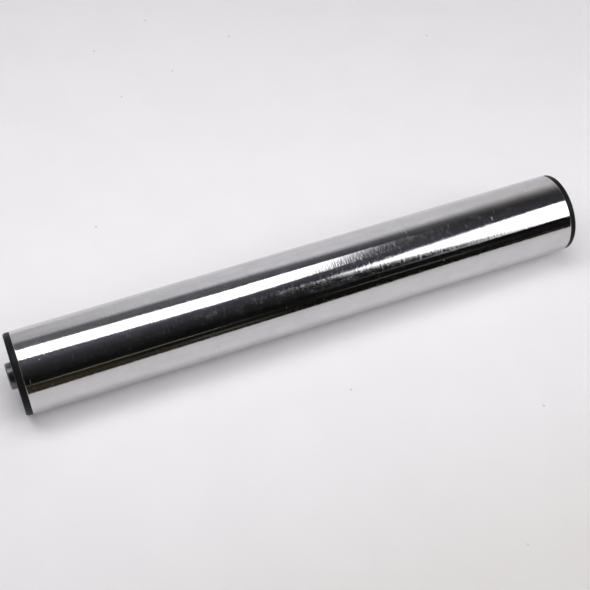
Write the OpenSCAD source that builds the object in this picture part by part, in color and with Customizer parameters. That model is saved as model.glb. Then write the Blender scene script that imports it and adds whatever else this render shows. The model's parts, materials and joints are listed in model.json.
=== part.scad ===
// Conveyor roller: a plated steel tube that turns on a fixed shaft. Each end
// of the tube is closed by a moulded cap, which holds a shielded ball bearing
// and makes a labyrinth with a seal ring on the shaft.
//
// X runs along the shaft and Z is up. The origin is at the roller's centre.
// Each end is drawn once, in a frame of its own: Z is the shaft's axis there,
// z = 0 is the tube's end face, and +z points out of the roller.

/* [Tube] */
// Length of the tube between its end faces
tube_length = 265; // [90:1:1200]
// Outer diameter of the tube
tube_d = 38; // [37:0.5:60]
// Wall thickness of the tube
tube_wall = 1.5; // [1:0.1:2]
// Radius on the outer edge of each end
tube_edge_r = 0.4; // [0.1:0.1:0.6]
// Chamfer on the inner edge of each end
tube_bore_chamfer = 0.3; // [0.1:0.1:0.4]

/* [Shaft] */
// Diameter of the shaft
shaft_d = 12; // [10:0.5:13]
// How far each shaft end stands out of its cap
shaft_projection = 2.8; // [1:0.1:20]
// Chamfer on each shaft end
shaft_chamfer = 0.5; // [0.2:0.1:0.8]
// Nominal diameter of the tapped hole in each end
thread_d = 8; // [5:0.5:8]
// Depth of full thread, from the shaft's end face
thread_depth = 15; // [8:1:30]
// Diameter of the tapping drill
tap_drill_d = 6.8; // [4:0.1:7]
// How far the drill runs on behind the thread
tap_drill_run = 3; // [1:0.5:8]
// Chamfer at the mouth of the tapped hole
thread_chamfer = 0.4; // [0.2:0.1:0.6]

/* [Bearing] */
// Outer diameter of the bearing
bearing_d = 28; // [27:0.5:30]
// Width of the bearing
bearing_width = 8; // [7.5:0.5:12]
// Diameter of a ball
ball_d = 4.762; // [4:0.001:5]
// Number of balls
ball_count = 8; // [6:1:9]
// Gap between a ball and the bottom of each raceway
ball_clearance = 0.03; // [0.02:0.01:0.06]
// Height of the raceway shoulders over the groove bottom
shoulder_h = 0.9; // [0.7:0.1:1.2]
// Chamfer on the corners of the rings
ring_chamfer = 0.3; // [0.1:0.1:0.5]

/* [Ball cage] */
// Gap between a ball and its pocket
pocket_clearance = 0.12; // [0.05:0.01:0.2]
// Gap between the cage and the shoulders of the rings
cage_clearance = 0.4; // [0.2:0.1:0.6]
// Thickness of the cage behind the pockets
cage_back = 0.3; // [0.2:0.05:0.4]
// Height of the cage's fingers past the middle of the balls
finger_h = 1.2; // [0.8:0.1:1.6]
// Thickness of a finger beside its pocket
finger_t = 0.55; // [0.4:0.05:0.7]

/* [Bearing shields] */
// Thickness of the shields' sheet
shield_t = 0.35; // [0.2:0.05:0.4]
// How far a shield lies below the bearing's face
shield_sink = 0.3; // [0.1:0.05:0.4]
// Width of the step that holds a shield
shield_seat_w = 0.5; // [0.3:0.1:0.8]
// Gap between a shield and the inner ring
shield_gap = 0.3; // [0.15:0.05:0.5]
// How far a shield's inner lip turns in towards the balls
shield_lip = 0.15; // [0.05:0.05:0.2]

/* [End cap] */
// Thickness of the flange over the tube's end
flange_t = 3; // [2:0.1:6]
// How far the flange's rim lies inside the tube's surface
flange_inset = 0.25; // [0:0.05:0.6]
// Radius on the flange's outer edge
flange_edge_r = 1.2; // [0.4:0.1:1.8]
// Width of the flange's face round the recess for the seal
flange_land = 5.75; // [5:0.25:6]
// Depth of the recess below the flange's face
recess_depth = 4; // [3.5:0.1:6]
// Radius on the mouth of the recess
recess_edge_r = 0.5; // [0.2:0.1:0.8]
// Thickness of the web between the recess and the bearing
web_t = 1.5; // [1:0.1:3]
// Gap between the web's opening and the shoulder of the inner ring
web_gap = 1.5; // [1:0.1:2]
// How far the barrel runs on behind the bearing
barrel_tail = 3.5; // [2.5:0.1:8]
// Height of the crush ribs that grip the tube
crush_rib_h = 0.2; // [0.1:0.05:0.4]
// Number of crush ribs
crush_rib_count = 12; // [6:1:18]
// Number of snap lugs behind the bearing
lug_count = 6; // [3:1:8]
// How far a snap lug reaches over the bearing
lug_h = 0.5; // [0.3:0.1:0.8]

/* [Seal ring] */
// Thickness of the seal's hub on the shaft
hub_wall = 2; // [1:0.1:2.2]
// Thickness of the seal's disc
disc_t = 1; // [0.6:0.1:1.4]
// Thickness of the skirt at the disc's rim
skirt_t = 1; // [0.6:0.1:1.2]
// How far the disc lies below the flange's face
seal_sink = 0.8; // [0.2:0.1:1.2]
// Gap all along the labyrinth between the seal and the cap
labyrinth_gap = 0.6; // [0.3:0.1:0.8]

/* [Circlip] */
// Thickness of the circlip
circlip_t = 1; // [0.8:0.1:1.5]
// Depth of its groove in the shaft
groove_depth = 0.25; // [0.2:0.05:0.5]
// Play of the circlip along its groove
groove_play = 0.1; // [0.05:0.05:0.2]
// Width of the circlip's band opposite the gap
circlip_band = 1.8; // [1.4:0.1:2.2]
// Diameter of the plier holes in its ears
ear_hole_d = 1.7; // [1.2:0.1:2]
// Width of an ear round its hole
ear_rim = 0.8; // [0.5:0.1:1]

/* [Hidden] */
// Tube and shaft
tube_r = tube_d / 2;
tube_bore_r = tube_r - tube_wall;
shaft_r = shaft_d / 2;
shaft_end = flange_t + shaft_projection;
shaft_length = tube_length + 2 * shaft_end;

// Bearing: its middle and its inner face lie inside the tube
bearing_r = bearing_d / 2;
web_face = flange_t - recess_depth;
bearing_face = web_face - web_t;
bearing_mid = bearing_face - bearing_width / 2;
bearing_back = bearing_face - bearing_width;
pitch_r = (shaft_r + bearing_r) / 2;
ball_r = ball_d / 2;
race_r = 0.53 * ball_d;
inner_race_r = pitch_r - ball_r - ball_clearance;
outer_race_r = pitch_r + ball_r + ball_clearance;
inner_shoulder_r = inner_race_r + shoulder_h;
outer_shoulder_r = outer_race_r - shoulder_h;
ball_step = 360 / ball_count;

// Cage
pocket_r = ball_r + pocket_clearance;
cage_inner_r = inner_shoulder_r + cage_clearance;
cage_outer_r = outer_shoulder_r - cage_clearance;
notch_w = 2 * (pitch_r * sin(ball_step / 2) - pocket_r - finger_t);
notch_floor = -0.3;

// Shields
shield_seat_r = outer_shoulder_r + shield_seat_w;
shield_bore_r = inner_shoulder_r + shield_gap;

// End cap
flange_r = tube_r - flange_inset;
barrel_r = tube_bore_r - crush_rib_h;
barrel_end = bearing_back - barrel_tail;
recess_r = flange_r - flange_land;
web_bore_r = inner_shoulder_r + web_gap;
housing_wall = barrel_r - bearing_r;
core_w = 0.36 * housing_wall;
core_floor = bearing_face - 1;
core_step = 360 / crush_rib_count;
core_angle = core_step - 9;
rib_angle = 3;
lug_angle = 14;
lug_t = 1.2;

// Seal ring, and the cap's collar that it reaches over
seal_face = flange_t - seal_sink;
disc_r = recess_r - labyrinth_gap;
skirt_r = disc_r - skirt_t;
collar_r = skirt_r - labyrinth_gap;
disc_back = seal_face - disc_t;

// Circlip
groove_r = shaft_r - groove_depth;
ear_r = ear_hole_d / 2 + ear_rim;
ear_centre = groove_r + 0.8 * ear_r;
ear_angle = 17;

// Overlap that keeps cuts clear of coincident faces
cut = 1;

SIDES = ["left", "right"];
END_PARTS = [
    "end_cap", "seal", "outer_ring", "inner_ring", "ball_cage",
    "outer_shield", "inner_shield", "circlip"
];

$fn = 96;

// ---- Placing and small helpers ----

// Puts something drawn in the frame of one end at that end of the roller.
module at_end(side) {
    mirror([side == "left" ? 1 : 0, 0, 0])
        translate([tube_length / 2, 0, 0])
            rotate([0, 90, 0])
                children();
}

// Lays something drawn along Z along the roller.
module along_roller() {
    rotate([0, 90, 0]) children();
}

// What is cut away to round the corner at the origin, which points to +x, +y.
module corner_round(r) {
    difference() {
        translate([-r, -r]) square(r + cut);
        translate([-r, -r]) circle(r);
    }
}

// What is cut away to chamfer the corner at the origin, which points to +x, +y.
module corner_chamfer(c) {
    polygon([[-c, cut], [-c, 0], [0, -c], [cut, -c], [cut, cut]]);
}

// ---- Tube ----

module tube_end_cuts() {
    translate([tube_r, tube_length / 2])
        corner_round(tube_edge_r);
    translate([tube_bore_r, tube_length / 2])
        mirror([1, 0])
            corner_chamfer(tube_bore_chamfer);
}

module tube() {
    color("silver")
        along_roller()
            rotate_extrude()
                difference() {
                    translate([tube_bore_r, -tube_length / 2])
                        square([tube_wall, tube_length]);
                    tube_end_cuts();
                    mirror([0, 1]) tube_end_cuts();
                }
}

// ---- Shaft ----

// The tapped hole, plain at the thread's nominal diameter, with its mouth at
// z = 0 and its drilled end below.
module tapped_hole() {
    drill_end = thread_depth + tap_drill_run;
    drill_r = tap_drill_d / 2;
    thread_r = thread_d / 2;
    translate([0, 0, -thread_depth])
        cylinder(r = thread_r, h = thread_depth + cut);
    translate([0, 0, -drill_end])
        cylinder(r = drill_r, h = drill_end);
    translate([0, 0, -drill_end - drill_r * tan(31)])
        cylinder(r1 = 0, r2 = drill_r, h = drill_r * tan(31));
    translate([0, 0, -thread_chamfer])
        cylinder(r1 = thread_r, r2 = thread_r + thread_chamfer + cut, h = thread_chamfer + cut);
}

// Half of the shaft's section, with the groove for one circlip.
module half_shaft_profile() {
    difference() {
        square([shaft_r, shaft_length / 2]);
        translate([shaft_r, shaft_length / 2])
            corner_chamfer(shaft_chamfer);
        translate([groove_r, tube_length / 2 + bearing_back - circlip_t - groove_play])
            square([groove_depth + cut, circlip_t + groove_play]);
    }
}

module shaft() {
    color("dimgray")
        along_roller()
            difference() {
                rotate_extrude() {
                    half_shaft_profile();
                    mirror([0, 1]) half_shaft_profile();
                }
                for (flip = [0, 1])
                    mirror([0, 0, flip])
                        translate([0, 0, shaft_length / 2])
                            tapped_hole();
            }
}

// ---- Ball bearing ----

// A ring's section: a plain bar with its four corners chamfered.
module ring_bar(r_in, r_out) {
    difference() {
        translate([r_in, bearing_back])
            square([r_out - r_in, bearing_width]);
        for (corner = [[r_in, 1], [r_out, 0]])
            for (flip = [0, 1])
                translate([corner[0], flip == 1 ? bearing_back : bearing_face])
                    mirror([corner[1], 0])
                        mirror([0, flip])
                            corner_chamfer(ring_chamfer);
    }
}

module inner_ring() {
    color("lightsteelblue")
        rotate_extrude()
            difference() {
                ring_bar(shaft_r, inner_shoulder_r);
                translate([inner_race_r + race_r, bearing_mid])
                    circle(race_r);
            }
}

module outer_ring() {
    seat_depth = shield_sink + shield_t;
    color("lightsteelblue")
        rotate_extrude()
            difference() {
                ring_bar(outer_shoulder_r, bearing_r);
                translate([outer_race_r - race_r, bearing_mid])
                    circle(race_r);
                for (face = [bearing_face - seat_depth, bearing_back - cut])
                    translate([0, face])
                        square([shield_seat_r, seat_depth + cut]);
            }
}

// A pressed shield in its step, seen from the outer face of the bearing.
module shield(face, inward) {
    color("gainsboro")
        translate([0, 0, face])
            mirror([0, 0, inward > 0 ? 1 : 0])
                rotate_extrude()
                    union() {
                        translate([shield_bore_r, -shield_sink - shield_t])
                            square([shield_seat_r - shield_bore_r, shield_t]);
                        translate([shield_bore_r, -shield_sink - shield_t - shield_lip])
                            square([shield_t, shield_t + shield_lip]);
                    }
}

// Puts something drawn round the middle of a ball at the place of ball i.
module at_ball(i) {
    rotate([0, 0, (i - 1) * ball_step])
        translate([pitch_r, 0, bearing_mid])
            children();
}

module ball(i) {
    color("white")
        at_ball(i) sphere(ball_r);
}

// The crown cage: a ring of snap-in pockets with a slot between neighbours.
module ball_cage() {
    back = pocket_r + cage_back;
    color("tan")
        difference() {
            translate([0, 0, bearing_mid])
                rotate_extrude()
                    translate([cage_inner_r, -back])
                        square([cage_outer_r - cage_inner_r, back + finger_h]);
            for (i = [1:ball_count]) {
                at_ball(i) sphere(pocket_r);
                at_ball(i + 0.5) finger_slot();
            }
        }
}

// The slot that frees the fingers of two neighbouring pockets.
module finger_slot() {
    reach = cage_outer_r - cage_inner_r + 2 * cut;
    translate([-reach / 2, -notch_w / 2, notch_floor])
        cube([reach, notch_w, finger_h + cut - notch_floor]);
}

// ---- End cap ----

module end_cap_profile() {
    difference() {
        union() {
            translate([web_bore_r, 0])
                square([flange_r - web_bore_r, flange_t]);
            translate([web_bore_r, barrel_end])
                square([barrel_r - web_bore_r, -barrel_end + flange_t / 2]);
        }
        translate([flange_r, flange_t])
            corner_round(flange_edge_r);
        translate([barrel_r, barrel_end])
            mirror([0, 1])
                corner_chamfer(housing_wall / 4);
        seal_recess_profile();
        translate([0, barrel_end - cut])
            square([bearing_r, bearing_face - barrel_end + cut]);
    }
}

// The recess for the seal, round the collar on the web.
module seal_recess_profile() {
    collar_end = disc_back - labyrinth_gap;
    difference() {
        union() {
            translate([0, web_face])
                square([recess_r, recess_depth + cut]);
            translate([recess_r, flange_t])
                difference() {
                    translate([-cut, -recess_edge_r])
                        square([recess_edge_r + cut, recess_edge_r + cut]);
                    translate([recess_edge_r, -recess_edge_r])
                        circle(recess_edge_r);
                }
        }
        translate([0, web_face - cut])
            square([collar_r, collar_end - web_face + cut]);
    }
}

// A rib along the barrel that the tube's bore presses on, with a lead-in.
module crush_rib() {
    rotate([0, 0, -rib_angle / 2])
        rotate_extrude(angle = rib_angle)
            polygon([
                [barrel_r - crush_rib_h, flange_t / 2],
                [tube_bore_r, flange_t / 2],
                [tube_bore_r, 0.8 * barrel_end],
                [barrel_r, 0.9 * barrel_end],
                [barrel_r - crush_rib_h, 0.9 * barrel_end]
            ]);
}

// A hollow that cores out the thick wall round the bearing.
module core_pocket() {
    middle_r = bearing_r + housing_wall / 2;
    rotate([0, 0, (core_step - core_angle) / 2])
        rotate_extrude(angle = core_angle)
            translate([middle_r - core_w / 2, barrel_end - cut])
                square([core_w, core_floor - barrel_end + cut]);
}

// A ramped lug that snaps behind the bearing.
module snap_lug() {
    root = 0.3;
    rotate([0, 0, -lug_angle / 2])
        rotate_extrude(angle = lug_angle)
            polygon([
                [bearing_r + root, bearing_back],
                [bearing_r - lug_h, bearing_back],
                [bearing_r + root, bearing_back - lug_t * (1 + root / lug_h)]
            ]);
}

module end_cap() {
    color([0.13, 0.13, 0.14])
        union() {
            difference() {
                rotate_extrude() end_cap_profile();
                for (i = [1:crush_rib_count])
                    rotate([0, 0, i * core_step]) core_pocket();
            }
            for (i = [1:crush_rib_count])
                rotate([0, 0, i * core_step]) crush_rib();
            for (i = [1:lug_count])
                rotate([0, 0, i * 360 / lug_count]) snap_lug();
        }
}

// ---- Seal ring ----

// Hub on the shaft, disc in the recess, and a skirt over the cap's collar.
module seal() {
    skirt_end = web_face + labyrinth_gap;
    color([0.2, 0.2, 0.22])
        rotate_extrude()
            union() {
                translate([shaft_r, bearing_face])
                    square([hub_wall, seal_face - bearing_face]);
                translate([shaft_r, disc_back])
                    square([disc_r - shaft_r, disc_t]);
                translate([skirt_r, skirt_end])
                    square([skirt_t, seal_face - skirt_end]);
            }
}

// ---- Circlip ----

// An external circlip: a band that thins towards its two eared ends.
module circlip() {
    band_shift = circlip_band / 6;
    color("slategray")
        translate([0, 0, bearing_back - circlip_t])
            linear_extrude(circlip_t)
                difference() {
                    union() {
                        difference() {
                            translate([-band_shift, 0])
                                circle(groove_r + circlip_band - band_shift);
                            circlip_gap();
                        }
                        for (turn = [-ear_angle, ear_angle])
                            rotate(turn)
                                translate([ear_centre, 0])
                                    circle(ear_r);
                    }
                    circle(groove_r);
                    for (turn = [-ear_angle, ear_angle])
                        rotate(turn)
                            translate([ear_centre, 0])
                                circle(d = ear_hole_d);
                }
}

// The open wedge between the circlip's ends.
module circlip_gap() {
    reach = 2 * (groove_r + circlip_band);
    polygon([
        [0, 0],
        [reach * cos(ear_angle), reach * sin(ear_angle)],
        [reach * cos(ear_angle), -reach * sin(ear_angle)]
    ]);
}

// ---- Nodes ----

tube();
shaft();
for (side = SIDES) {
    at_end(side) end_cap();
    at_end(side) seal();
    at_end(side) outer_ring();
    at_end(side) inner_ring();
    at_end(side) ball_cage();
    at_end(side) shield(bearing_face, 0);
    at_end(side) shield(bearing_back, 1);
    at_end(side) circlip();
    for (i = [1:ball_count])
        at_end(side) ball(i);
}
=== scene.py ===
"""The conveyor roller in a plain pale studio: finishes, bore threads, stage, lights and camera."""

import json
import math

import bpy
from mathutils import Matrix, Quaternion, Vector

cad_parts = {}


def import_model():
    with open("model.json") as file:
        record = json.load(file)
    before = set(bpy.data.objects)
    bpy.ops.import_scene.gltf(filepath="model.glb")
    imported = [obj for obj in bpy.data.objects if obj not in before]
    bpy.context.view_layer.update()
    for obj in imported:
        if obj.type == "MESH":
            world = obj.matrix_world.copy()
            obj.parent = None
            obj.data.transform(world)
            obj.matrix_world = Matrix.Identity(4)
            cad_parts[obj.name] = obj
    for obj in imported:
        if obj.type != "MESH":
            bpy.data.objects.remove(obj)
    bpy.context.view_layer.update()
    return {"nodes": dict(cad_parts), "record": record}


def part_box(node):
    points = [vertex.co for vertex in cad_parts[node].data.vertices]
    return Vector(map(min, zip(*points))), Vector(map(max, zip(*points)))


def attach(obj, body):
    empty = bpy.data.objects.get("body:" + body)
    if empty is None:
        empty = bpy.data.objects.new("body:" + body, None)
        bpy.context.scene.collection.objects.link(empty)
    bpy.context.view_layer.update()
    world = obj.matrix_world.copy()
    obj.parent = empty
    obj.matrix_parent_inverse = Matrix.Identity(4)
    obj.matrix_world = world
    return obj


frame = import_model()

# The roller lies along X with its middle at the origin; these come from its own nodes.
TUBE_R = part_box("tube")[1].z
SHAFT_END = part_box("shaft")[1].x
FLOOR_Z = -TUBE_R

# M8 thread of the tapped holes in the shaft's ends.
THREAD_R = 0.004
THREAD_PITCH = 0.00125
THREAD_DEPTH = 0.0146
THREAD_HEIGHT = 0.00066
THREAD_STEPS = 64
# Half widths of its ridge at the wall and at the crest.
THREAD_BASE = 0.4375 * THREAD_PITCH
THREAD_CREST = 0.125 * THREAD_PITCH
# How deep the ridge's foot lies in the wall.
THREAD_SINK = 0.00004
# How far its middle stays from each end of the thread, in pitches.
THREAD_START = 0.75
# It grows from this share of its height to all of it in a third of a turn, and ends the same way.
THREAD_LEAST = 0.02
THREAD_TAPER = THREAD_STEPS / 3

# Camera: its place on an orbit round a point near the roller's middle.
CAMERA_AZIMUTH = math.radians(-22.017)
CAMERA_ELEVATION = math.radians(48.551)
CAMERA_DISTANCE = 0.51751
CAMERA_TARGET = Vector((-0.00474, -0.00272, 0.0))
CAMERA_LENS = 68.235
CAMERA_SENSOR = 36.0

# The colour of the room, as it is seen and mirrored, and the radiance of each light.
PALE = (0.905, 0.888, 0.910)
OVERHEAD_RADIANCE = 3.2
FRONT_RADIANCE = 3.1
CEILING_FILL = 1.6

# Where each soft light hangs, and what it faces.
OVERHEAD_PLACE, OVERHEAD_AIM = (0, 0, 0.50), (0, 0, 0)
FRONT_PLACE, FRONT_AIM = (0.42, -0.42, 0.45), (0.10, 0, 0)
# The cool tint of the lights' dim ends.
DIM_TINT = (0.96, 0.95, 1.06)
# The direction in which the glow that fills the shadows is brightest.
GLOW_WAY = (0, -0.47, 0.88)

# The table top's two tones as shares of PALE, and the lint on it.
TABLE_TONES = (1.035, 1.05)
LINT = (0.70, 0.67, 0.67)


# ---------------------------------------------------------------- node helpers


def add_node(tree, kind, **settings):
    made = tree.nodes.new(kind)
    for name, value in settings.items():
        setattr(made, name, value)
    return made


def connect(tree, value, socket):
    """Links an output to a socket, or sets the socket to a number, a vector or a colour."""
    if isinstance(value, bpy.types.NodeSocket):
        tree.links.new(value, socket)
    elif socket.type == "RGBA":
        socket.default_value = (*value, 1.0)
    else:
        socket.default_value = value


def calculate(tree, operation, first, second):
    """The result of a Math node; first and second are numbers or outputs."""
    made = add_node(tree, "ShaderNodeMath", operation=operation)
    connect(tree, first, made.inputs[0])
    connect(tree, second, made.inputs[1])
    return made.outputs[0]


def multiply_vectors(tree, first, second):
    """Two vectors or colours multiplied axis by axis."""
    made = add_node(tree, "ShaderNodeVectorMath", operation="MULTIPLY")
    connect(tree, first, made.inputs[0])
    connect(tree, second, made.inputs[1])
    return made.outputs[0]


def map_range(tree, source, low, high, start=0.0, end=1.0, interpolation="SMOOTHSTEP"):
    """source from low to high becomes start to end, smoothly where nothing else is said, and clamped."""
    made = add_node(tree, "ShaderNodeMapRange", interpolation_type=interpolation)
    values = {"Value": source, "From Min": low, "From Max": high, "To Min": start, "To Max": end}
    for socket, value in values.items():
        connect(tree, value, made.inputs[socket])
    return made.outputs["Result"]


def mix_colours(tree, factor, dark, light):
    """A colour between dark and light, which a Mix node has as its inputs 6 and 7 and its output 2."""
    made = add_node(tree, "ShaderNodeMix", data_type="RGBA")
    connect(tree, factor, made.inputs[0])
    connect(tree, dark, made.inputs[6])
    connect(tree, light, made.inputs[7])
    return made.outputs[2]


def colour_ramp(tree, source, low, high, stops):
    """Colours at places between low and high of an output."""
    ramp = add_node(tree, "ShaderNodeValToRGB")
    ramp.color_ramp.interpolation = "EASE"
    elements = ramp.color_ramp.elements
    while len(elements) < len(stops):
        elements.new(0.5)
    for element, (place, colour) in zip(elements, stops):
        element.position = (place - low) / (high - low)
        element.color = (*colour, 1.0)
    connect(tree, map_range(tree, source, low, high, interpolation="LINEAR"), ramp.inputs["Fac"])
    return ramp.outputs["Color"]


def level_ramp(tree, source, stops):
    """The same for plain levels between the first and the last stop."""
    greys = tuple((place, (level, level, level)) for place, level in stops)
    return colour_ramp(tree, source, stops[0][0], stops[-1][0], greys)


def separate_axes(tree, vector):
    made = add_node(tree, "ShaderNodeSeparateXYZ")
    connect(tree, vector, made.inputs[0])
    return made.outputs


def object_axes(tree):
    return separate_axes(tree, add_node(tree, "ShaderNodeTexCoord").outputs["Object"])


def seen_directly(tree):
    """1 for what the camera sees, straight, mirrored or through glass."""
    path = add_node(tree, "ShaderNodeLightPath").outputs
    mirrored = calculate(tree, "MAXIMUM", path["Is Glossy Ray"], path["Is Transmission Ray"])
    return calculate(tree, "MAXIMUM", path["Is Camera Ray"], mirrored)


class Finish:
    """A node material: its Principled shader and the textures that feed it."""

    def __init__(self, name, **sockets):
        self.material = bpy.data.materials.new(name)
        self.material.use_nodes = True
        self.tree = self.material.node_tree
        self.shader = self.tree.nodes["Principled BSDF"]
        self.place = add_node(self.tree, "ShaderNodeTexCoord").outputs["Object"]
        self.feed(**sockets)

    def feed(self, **sockets):
        """Sets or links sockets of the shader, given by their names with _ for blanks."""
        for name, value in sockets.items():
            connect(self.tree, value, self.shader.inputs[name.replace("_", " ")])

    def texture(self, kind, scale, **settings):
        """A texture node whose scale is per metre along X, Y and Z."""
        made = add_node(self.tree, kind, **settings)
        connect(self.tree, multiply_vectors(self.tree, self.place, scale), made.inputs["Vector"])
        connect(self.tree, 1.0, made.inputs["Scale"])
        return made

    def noise(self, scale, detail, rough=0.5):
        made = self.texture("ShaderNodeTexNoise", scale)
        connect(self.tree, detail, made.inputs["Detail"])
        connect(self.tree, rough, made.inputs["Roughness"])
        return made.outputs["Fac"]

    def specks(self, scale, size, share, dimensions="3D"):
        """Round or stretched specks: 1 inside a speck and 0 elsewhere. Each has a radius of size cells,
        and share of the cells hold one."""
        cells = self.texture("ShaderNodeTexVoronoi", scale, voronoi_dimensions=dimensions)
        near = self.ramp(cells.outputs["Distance"], size, 0.5 * size)
        pick = add_node(self.tree, "ShaderNodeSeparateColor")
        connect(self.tree, cells.outputs["Color"], pick.inputs[0])
        chosen = self.math("LESS_THAN", pick.outputs[0], share)
        return self.math("MULTIPLY", near, chosen)

    def math(self, operation, first, second):
        return calculate(self.tree, operation, first, second)

    def ramp(self, source, low, high, start=0.0, end=1.0):
        return map_range(self.tree, source, low, high, start, end)

    def clouded(self, cloud, dark, light):
        """A colour that follows a noise, from dark where it is low to light where it is high."""
        return mix_colours(self.tree, self.ramp(cloud, 0.3, 0.7), dark, light)

    def bump(self, *layers):
        """Relief from pairs of a height texture and its depth in metres."""
        normal = None
        for height, depth in layers:
            made = add_node(self.tree, "ShaderNodeBump")
            connect(self.tree, 1.0, made.inputs["Strength"])
            connect(self.tree, depth, made.inputs["Distance"])
            connect(self.tree, height, made.inputs["Height"])
            if normal:
                connect(self.tree, normal, made.inputs["Normal"])
            normal = made.outputs["Normal"]
        self.feed(Normal=normal)

    def brushed(self, amount):
        """Fine grinding round the X axis: highlights spread along the roller and stay crisp across it."""
        tangent = add_node(self.tree, "ShaderNodeTangent", direction_type="RADIAL", axis="X")
        quarter_turn = 0.25
        self.feed(Tangent=tangent.outputs[0], Anisotropic=amount, Anisotropic_Rotation=quarter_turn)


# ---------------------------------------------------------------- finishes


def plated_steel():
    """Bright plating over a ground tube: grinding marks round it, faint smudges, hair scratches and dust."""
    made = Finish("plated_steel", Metallic=1.0, IOR=2.5)
    made.brushed(0.75)
    cloud = made.noise((70, 110, 110), detail=5.0, rough=0.65)
    made.feed(Base_Color=made.clouded(cloud, (0.540, 0.541, 0.546), (0.597, 0.597, 0.600)))
    dust = made.specks((420, 420, 420), size=0.17, share=0.03)
    scratches = made.specks((900, 130, 130), size=0.20, share=0.02)
    marks = made.math("MULTIPLY", made.math("MAXIMUM", dust, scratches), 0.4)
    smudges = made.ramp(made.noise((90, 150, 150), detail=4.0, rough=0.7), 0.50, 0.72, start=0.088, end=0.15)
    hairlines = made.ramp(made.noise((2600, 320, 320), detail=1.0), 0.58, 0.74, end=0.12)
    ground = made.math("ADD", smudges, hairlines)
    made.feed(Roughness=made.math("MAXIMUM", ground, marks))
    grind = made.noise((1300, 300, 300), detail=1.0, rough=0.6)
    hairs = made.ramp(made.noise((2100, 420, 420), detail=1.0), 0.50, 0.72)
    feed_lines = made.noise((420, 12, 12), detail=1.0)
    made.bump((grind, 0.00003), (hairs, 0.000005), (feed_lines, 0.00001))
    return made.material


def shaft_steel():
    """Turned dark steel with fine tool marks."""
    made = Finish("shaft_steel", Metallic=1.0, IOR=2.5)
    made.brushed(0.5)
    turning = made.noise((2600, 20, 20), detail=3.0, rough=0.6)
    cloud = made.noise((160, 220, 220), detail=4.0)
    made.feed(Base_Color=made.clouded(cloud, (0.14, 0.14, 0.145), (0.20, 0.199, 0.198)),
              Roughness=made.ramp(turning, 0.3, 0.7, start=0.30, end=0.42))
    made.bump((turning, 0.000006), (cloud, 0.00001))
    return made.material


def moulded_plastic(name, dark, light, rough, grain=1400):
    """Moulded plastic with a fine spark-eroded grain and faint flow marks."""
    made = Finish(name, Metallic=0.0, IOR=1.5, Specular_IOR_Level=0.11)
    fine = made.noise((grain, grain, grain), detail=3.0, rough=0.6)
    flow = made.noise((90, 130, 130), detail=3.0)
    made.feed(Base_Color=made.clouded(flow, dark, light),
              Roughness=made.ramp(fine, 0.3, 0.7, start=rough - 0.05, end=rough + 0.08))
    made.bump((fine, 0.000015), (flow, 0.00004))
    return made.material


def ground_steel(name, dark, light, rough, spread=0.6):
    """Ground or pressed bearing steel, brighter or duller with its colour and roughness."""
    made = Finish(name, Metallic=1.0, IOR=2.5)
    made.brushed(spread)
    lines = made.noise((2400, 60, 60), detail=3.0, rough=0.6)
    cloud = made.noise((200, 260, 260), detail=3.0)
    made.feed(Base_Color=made.clouded(cloud, dark, light),
              Roughness=made.ramp(lines, 0.3, 0.7, start=rough - 0.04, end=rough + 0.06))
    made.bump((lines, 0.000004))
    return made.material


# The finish of each of the record's slots. Where it takes colours, they are its darkest and its lightest.
FINISHES = {
    "plated_steel": plated_steel(),
    "shaft_steel": shaft_steel(),
    "cap_plastic": moulded_plastic("cap_plastic", (0.006, 0.006, 0.0065), (0.009, 0.009, 0.0095), 0.42),
    "seal_plastic": moulded_plastic("seal_plastic", (0.018, 0.018, 0.019), (0.025, 0.025, 0.026), 0.5,
                                    grain=1900),
    "cage_nylon": moulded_plastic("cage_nylon", (0.50, 0.46, 0.36), (0.60, 0.56, 0.46), 0.45),
    "bearing_steel": ground_steel("bearing_steel", (0.50, 0.49, 0.48), (0.60, 0.59, 0.58), 0.20),
    "ball_steel": ground_steel("ball_steel", (0.66, 0.66, 0.66), (0.72, 0.72, 0.72), 0.07, spread=0.0),
    "shield_steel": ground_steel("shield_steel", (0.56, 0.56, 0.55), (0.66, 0.66, 0.64), 0.27),
    "spring_steel": ground_steel("spring_steel", (0.10, 0.10, 0.11), (0.17, 0.17, 0.18), 0.36, spread=0.2),
}


def dress_nodes():
    """Gives each CAD node the finish of the record's slot for it."""
    for part in frame["record"]["subparts"]:
        data = frame["nodes"][part["node"]].data
        data.materials.clear()
        data.materials.append(FINISHES[part["material_slot"]])


# ---------------------------------------------------------------- objects


def add_object(name, data):
    made = bpy.data.objects.new(name, data)
    bpy.context.scene.collection.objects.link(made)
    return made


def add_mesh(name, verts, faces, material):
    mesh = bpy.data.meshes.new(name)
    mesh.from_pydata(verts, [], faces)
    mesh.materials.append(material)
    return add_object(name, mesh)


def stage_mesh(name, verts, faces, material):
    made = add_mesh(name, verts, faces, material)
    return made


def mirrored_mesh(name, verts, faces, material):
    """A part of the stage that shows only in reflections."""
    made = stage_mesh(name, verts, faces, material)
    made.visible_camera = False
    made.visible_diffuse = False
    made.visible_transmission = False
    made.visible_shadow = False
    return made


def place_facing(made, centre, aim):
    made.location = centre
    made.rotation_mode = "QUATERNION"
    made.rotation_quaternion = (Vector(aim) - Vector(centre)).to_track_quat("-Z", "Y")


# ---------------------------------------------------------------- bore threads


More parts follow.
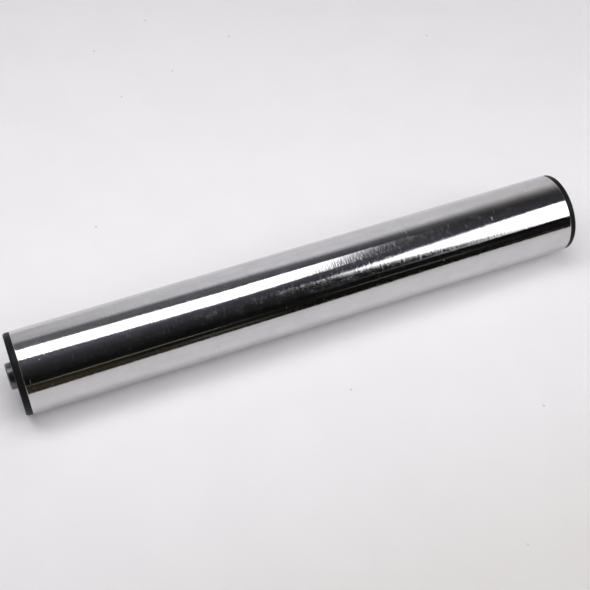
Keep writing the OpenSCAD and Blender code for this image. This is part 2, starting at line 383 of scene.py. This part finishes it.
def thread(name, side):
    """The ridges of a tapped hole, wound inwards from the shaft's end on side -1 or 1."""
    turns = THREAD_DEPTH / THREAD_PITCH - 2 * THREAD_START
    count = round(turns * THREAD_STEPS)
    wall_r = THREAD_R + THREAD_SINK
    verts = []
    for step in range(count + 1):
        angle = 2 * math.pi * step / THREAD_STEPS
        along = THREAD_PITCH * (THREAD_START + step / THREAD_STEPS)
        full = min(1.0, step / THREAD_TAPER, (count - step) / THREAD_TAPER)
        crest_r = THREAD_R - THREAD_HEIGHT * max(full, THREAD_LEAST)
        for offset, radius in ((-THREAD_BASE, wall_r), (-THREAD_CREST, crest_r),
                               (THREAD_CREST, crest_r), (THREAD_BASE, wall_r)):
            x = side * (SHAFT_END - along - offset)
            verts.append((x, radius * math.cos(angle), side * radius * math.sin(angle)))
    faces = []
    for step in range(count):
        for edge in range(4):
            a, b = 4 * step + edge, 4 * step + (edge + 1) % 4
            faces.append((a, b, b + 4, a + 4))
    first_end, last_end = (3, 2, 1, 0), tuple(4 * count + corner for corner in range(4))
    faces += [first_end, last_end]
    made = add_mesh(name, verts, faces, FINISHES["shaft_steel"])
    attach(made, "fixed_shaft")


# ---------------------------------------------------------------- table and room


def floor():
    """A pale table top, faintly uneven, with a little lint. Far off it fades into the pale room."""
    half_side, fade_from, fade_to = 4.0, 0.25, 0.8
    made = Finish("floor", Metallic=0.0, Roughness=0.9, Specular_IOR_Level=0.1)
    tree = made.tree
    dark, light = (tuple(share * level for level in PALE) for share in TABLE_TONES)
    cloud = made.noise((30, 30, 30), detail=3.0)
    tone = mix_colours(tree, made.ramp(cloud, 0.35, 0.65), dark, light)
    # Painted shade and light: the colour dims and warms towards its front edge, and is painted a little
    # paler behind the roller, where it lifts the roller's shade.
    painted_light_and_shade = colour_ramp(tree, separate_axes(tree, made.place)["Y"], -0.18, 0.035, (
        (-0.18, (0.83, 0.83, 0.79)), (-0.05, (0.95, 0.95, 0.95)), (0.0, (0.95, 0.95, 0.95)),
        (0.035, (1.0, 1.0, 1.0))))
    lint = made.specks((26, 26, 0), size=0.022, share=0.14, dimensions="2D")
    made.feed(Base_Color=mix_colours(tree, lint, multiply_vectors(tree, tone, painted_light_and_shade), LINT))
    far = add_node(tree, "ShaderNodeVectorMath", operation="LENGTH")
    connect(tree, made.place, far.inputs[0])
    faded = made.ramp(far.outputs["Value"], fade_from, fade_to)
    room = add_node(tree, "ShaderNodeEmission")
    connect(tree, PALE, room.inputs["Color"])
    blend = add_node(tree, "ShaderNodeMixShader")
    connect(tree, made.math("MULTIPLY", faded, seen_directly(tree)), blend.inputs[0])
    connect(tree, made.shader.outputs[0], blend.inputs[1])
    connect(tree, room.outputs[0], blend.inputs[2])
    connect(tree, blend.outputs[0], tree.nodes["Material Output"].inputs["Surface"])
    corners = [(x * half_side, y * half_side, FLOOR_Z) for x, y in ((-1, -1), (1, -1), (1, 1), (-1, 1))]
    stage_mesh("floor", corners, [(0, 1, 2, 3)], made.material)


# The plating mirrors a dark room in front of the table. Its foot follows the table's front edge, in X and Y.
CARD_FOOT = ((-0.60, -0.11), (-0.12, -0.143), (-0.06, -0.158), (0.05, -0.166), (0.13, -0.215),
             (0.19, -0.250), (0.235, -0.245), (0.26, -0.222), (0.70, -0.225))
# The band of the tube that mirrors it lies about here.
MIRROR_Y, MIRROR_Z = -0.016, 0.010
# Each strip of it lies between two angles in degrees over the level, and changes its colour along X.
ROOM_BLACK = (0.006, 0.006, 0.0055)
CARD_LEFT, CARD_RIGHT = -0.2, 0.3
CARD_BANDS = {
    "card_foot": (-80, -4, (
        (-0.12, (0.038, 0.026, 0.019)), (-0.03, (0.030, 0.028, 0.024)), (0.03, ROOM_BLACK),
        (0.30, ROOM_BLACK))),
    "card_sill": (-4, 1.5, (
        (-0.12, (0.049, 0.037, 0.024)), (-0.05, (0.038, 0.032, 0.024)), (-0.02, (0.080, 0.078, 0.070)),
        (0.035, ROOM_BLACK), (0.195, ROOM_BLACK), (0.23, (0.034, 0.030, 0.027)))),
    "card_gap": (1.5, 10.8, (
        (-0.12, (0.028, 0.025, 0.012)), (-0.04, (0.008, 0.008, 0.005)), (0.30, ROOM_BLACK))),
    "card_line": (10.8, 13.4, (
        (-0.16, (0.08, 0.08, 0.060)), (-0.10, (0.17, 0.167, 0.130)), (-0.04, (0.15, 0.147, 0.118)),
        (0.0, (0.03, 0.029, 0.024)), (0.03, (0.012, 0.012, 0.010)), (0.095, (0.105, 0.105, 0.096)),
        (0.15, (0.125, 0.125, 0.115)), (0.20, (0.030, 0.030, 0.025)), (0.26, (0.014, 0.014, 0.011)))),
    "card_top": (13.4, 22, ((-0.1, ROOM_BLACK), (0.3, ROOM_BLACK))),
}


def emitting(name):
    """An emitting material, its node tree and its emission shader, whose sockets are still to be fed."""
    material = bpy.data.materials.new(name)
    material.use_nodes = True
    tree = material.node_tree
    tree.nodes.clear()
    emission = add_node(tree, "ShaderNodeEmission")
    connect(tree, emission.outputs[0], add_node(tree, "ShaderNodeOutputMaterial").inputs["Surface"])
    return material, tree, emission


def card_band(name, low, high, tones):
    """A strip of the dark room between two angles over the card's foot, with its colours along X."""
    verts = []
    for x, y in CARD_FOOT:
        for angle in (low, high):
            height = MIRROR_Z + (MIRROR_Y - y) * math.tan(math.radians(angle))
            verts.append((x, y, max(FLOOR_Z, height)))
    faces = [(2 * s, 2 * s + 2, 2 * s + 3, 2 * s + 1) for s in range(len(CARD_FOOT) - 1)]
    material, tree, emission = emitting(name)
    colour = colour_ramp(tree, object_axes(tree)["X"], CARD_LEFT, CARD_RIGHT, tones)
    connect(tree, colour, emission.inputs["Color"])
    mirrored_mesh(name, verts, faces, material)


# The hood's material changes over this stretch of X.
HOOD_LEFT, HOOD_RIGHT = -0.1, 0.9
# Its dark part: a level at each angle round X in degrees, 0 in front and 90 overhead, and how much bluer
# than grey it is. Next to the overhead light the levels rise and are bluest: a painted glow of that light,
# which the plating mirrors.
HOOD_LEVELS = ((0, 0.006), (30, 0.006), (40, 0.006), (48, 0.0075), (56, 0.020), (64, 0.040), (72, 0.09),
               (84, 0.085), (95, 0.070), (104, 0.070), (112, 0.145), (118, 0.17), (130, 0.17))
HOOD_BLUE = {48: 1.15, 56: 1.25, 64: 1.30, 72: 1.30, 84: 1.25, 95: 1.10}
HOOD_LEAST_BLUE, HOOD_RED = 1.04, 0.98
# The tint of the dark part and the colour of the pale part, along X.
HOOD_DIMMING = ((-0.1, (1.0, 1.0, 1.0)), (0.27, (0.80, 0.80, 0.83)), (0.68, (0.60, 0.59, 0.62)),
                (0.9, (0.50, 0.47, 0.46)))
HOOD_PALE = ((-0.1, (0.54, 0.53, 0.565)), (0.08, (0.72, 0.71, 0.75)), (0.27, (0.88, 0.86, 0.915)),
             (0.68, (0.87, 0.85, 0.89)), (0.9, (0.785, 0.745, 0.750)))
# Where along X the dark part ends and where the pale part is full, in half turns round X.
HOOD_DARK_END = ((-0.1, 0.722), (0.08, 0.712), (0.27, 0.70), (0.47, 0.665), (0.68, 0.65), (0.9, 0.615))
HOOD_PALE_START = ((-0.1, 0.785), (0.27, 0.78), (0.47, 0.765), (0.68, 0.795), (0.9, 0.84))


def hood_material():
    """Dark in front and above, pale past the hood's rear edge, which is softer to the right."""
    material, tree, emission = emitting("hood")
    axes = object_axes(tree)
    turn = calculate(tree, "ARCTAN2", axes["Z"], calculate(tree, "MULTIPLY", axes["Y"], -1.0))
    degrees = calculate(tree, "MULTIPLY", turn, 180 / math.pi)
    tones = tuple((angle, (HOOD_RED * level, level, HOOD_BLUE.get(angle, HOOD_LEAST_BLUE) * level))
                  for angle, level in HOOD_LEVELS)
    dimming = colour_ramp(tree, axes["X"], HOOD_LEFT, HOOD_RIGHT, HOOD_DIMMING)
    dark = multiply_vectors(tree, colour_ramp(tree, degrees, 0, 180, tones), dimming)
    pale = colour_ramp(tree, axes["X"], HOOD_LEFT, HOOD_RIGHT, HOOD_PALE)
    dark_end = level_ramp(tree, axes["X"], HOOD_DARK_END)
    pale_start = level_ramp(tree, axes["X"], HOOD_PALE_START)
    share = map_range(tree, calculate(tree, "DIVIDE", turn, math.pi), dark_end, pale_start)
    connect(tree, mix_colours(tree, share, dark, pale), emission.inputs["Color"])
    return material


def dark_room():
    """The unlit room round the front and top of the table, which the plating mirrors."""
    for name, (low, high, tones) in CARD_BANDS.items():
        card_band(name, low, high, tones)
    # A hood round X, from over the card to behind the roller, where it fades into the pale room.
    radius, half_length, steps = 1.6, 5.0, 48
    first, last = math.radians(8), math.radians(150)
    verts = []
    for step in range(steps + 1):
        angle = first + (last - first) * step / steps
        for x in (-half_length, half_length):
            verts.append((x, -radius * math.cos(angle), radius * math.sin(angle)))
    faces = [(2 * s, 2 * s + 1, 2 * s + 3, 2 * s + 2) for s in range(steps)]
    mirrored_mesh("hood", verts, faces, hood_material())


# ---------------------------------------------------------------- lights and camera


def mirrored_panel(name, material, centre, aim, outline):
    """A flat panel with an outline in its own plane, which only reflections show."""
    panel = mirrored_mesh(name, [(x, y, 0) for x, y in outline], [tuple(range(len(outline)))], material)
    place_facing(panel, centre, aim)


def polygon_middle(outline):
    """The middle and the area of a closed outline."""
    area = sum_x = sum_y = 0.0
    for (x0, y0), (x1, y1) in zip(outline, outline[1:] + outline[:1]):
        cross = x0 * y1 - x1 * y0
        area += cross / 2
        sum_x += (x0 + x1) * cross / 6
        sum_y += (y0 + y1) * cross / 6
    return sum_x / area, sum_y / area, abs(area)


def softbox(name, centre, aim, outline, slant, radiance):
    """A soft light in two: a panel with the outline is mirrored, and a lamp of the same area and middle,
    turned by the outline's slant, lights what is matt."""
    material, tree, emission = emitting(name)
    connect(tree, (1.0, 1.0, 1.0), emission.inputs["Color"])
    connect(tree, radiance, emission.inputs["Strength"])
    mirrored_panel(name + "_face", material, centre, aim, outline)
    middle_x, middle_y, area = polygon_middle(outline)
    width = (max(x for x, y in outline) - min(x for x, y in outline)) / math.cos(slant)
    data = bpy.data.lights.new(name, "AREA")
    data.shape = "RECTANGLE"
    data.size = width
    data.size_y = area / width
    data.energy = radiance * math.pi * area
    lamp = add_object(name, data)
    place_facing(lamp, centre, aim)
    lamp.location = Vector(centre) + lamp.rotation_quaternion @ Vector((middle_x, middle_y, 0))
    lamp.rotation_quaternion = lamp.rotation_quaternion @ Quaternion((0, 0, 1), slant)
    lamp.visible_camera = False
    lamp.visible_glossy = False


def fading_panel(name, centre, aim, outline, lean, stops):
    """A dim mirrored panel whose radiance changes along its X, less lean times its Y."""
    material, tree, emission = emitting(name)
    axes = object_axes(tree)
    place = calculate(tree, "ADD", axes["X"], calculate(tree, "MULTIPLY", axes["Y"], -lean))
    top = max(level for _, level in stops)
    shares = tuple((where, level / top) for where, level in stops)
    strength = calculate(tree, "MULTIPLY", level_ramp(tree, place, shares), top)
    connect(tree, DIM_TINT, emission.inputs["Color"])
    connect(tree, strength, emission.inputs["Strength"])
    mirrored_panel(name, material, centre, aim, outline)


def softboxes():
    """An overhead light and a front one. The first dims towards its right end, and a dim lip runs out
    from under the second."""
    softbox("overhead_softbox", OVERHEAD_PLACE, OVERHEAD_AIM,
            [(-0.42, 0.039), (0.072, -0.132), (0.145, -0.101), (0.145, 0.124), (0.085, 0.130),
             (0.06, 0.116), (-0.42, 0.305)],
            math.radians(-20), OVERHEAD_RADIANCE)
    fading_panel("overhead_end", OVERHEAD_PLACE, OVERHEAD_AIM,
                 [(0.145, -0.101), (0.28, -0.075), (0.28, 0.118), (0.145, 0.124)], 0.22,
                 ((0.14, 2.6), (0.153, 1.0), (0.168, 0.26), (0.197, 0.07), (0.28, 0.035)))
    fading_panel("front_lip", FRONT_PLACE, FRONT_AIM,
                 [(-0.30, -0.128), (-0.05, -0.203), (-0.05, -0.150), (-0.30, -0.088)], 0.0,
                 ((-0.30, 0.03), (-0.20, 0.05), (-0.165, 0.15), (-0.13, 0.47), (-0.09, 1.2), (-0.05, 2.6)))
    softbox("front_softbox", FRONT_PLACE, FRONT_AIM,
            [(-0.139, 0.158), (-0.125, 0.197), (0.13, 0.237), (0.28, 0.205), (0.28, -0.290),
             (-0.05, -0.210), (-0.073, -0.168), (-0.085, -0.110), (-0.098, -0.040), (-0.124, 0.080)],
            0, FRONT_RADIANCE)


def world():
    """Pale for what is seen, mirrored or refracted; a soft glow over the front fills the shadows."""
    made = bpy.data.worlds.new("studio")
    bpy.context.scene.world = made
    made.use_nodes = True
    tree = made.node_tree
    back = tree.nodes["Background"]
    connect(tree, PALE, back.inputs["Color"])
    way = add_node(tree, "ShaderNodeTexCoord").outputs["Generated"]
    # Straight ahead the room is evenly pale; in the metal it dims towards both sides.
    mirrored = level_ramp(tree, separate_axes(tree, way)["X"], (
        (0.0, 0.65), (0.05, 0.73), (0.10, 0.80), (0.143, 0.89), (0.187, 0.92), (0.25, 0.945),
        (0.32, 0.945), (0.36, 0.895), (0.44, 0.84)))
    straight = add_node(tree, "ShaderNodeLightPath").outputs["Is Camera Ray"]
    seen = seen_directly(tree)
    level = calculate(tree, "MULTIPLY", seen, calculate(tree, "MAXIMUM", mirrored, straight))
    lean = add_node(tree, "ShaderNodeVectorMath", operation="DOT_PRODUCT")
    connect(tree, way, lean.inputs[0])
    connect(tree, GLOW_WAY, lean.inputs[1])
    glow = level_ramp(tree, lean.outputs["Value"], ((0.3, 0.02), (0.75, 0.08), (0.97, 1.0)))
    unseen = calculate(tree, "MULTIPLY", calculate(tree, "SUBTRACT", 1.0, seen), CEILING_FILL)
    fill = calculate(tree, "MULTIPLY", unseen, glow)
    connect(tree, calculate(tree, "ADD", level, fill), back.inputs["Strength"])


def camera():
    data = bpy.data.cameras.new("camera")
    data.lens = CAMERA_LENS
    data.sensor_width = CAMERA_SENSOR
    made = add_object("camera", data)
    level = math.cos(CAMERA_ELEVATION)
    back = Vector((level * math.sin(CAMERA_AZIMUTH), -level * math.cos(CAMERA_AZIMUTH),
                   math.sin(CAMERA_ELEVATION)))
    made.location = CAMERA_TARGET + CAMERA_DISTANCE * back
    made.rotation_euler = (-back).to_track_quat("-Z", "Y").to_euler()
    bpy.context.scene.camera = made


dress_nodes()
thread("left_thread_ridges", -1)
thread("right_thread_ridges", 1)
floor()
dark_room()
softboxes()
world()
camera()
bpy.context.scene.view_settings.view_transform = "Standard"
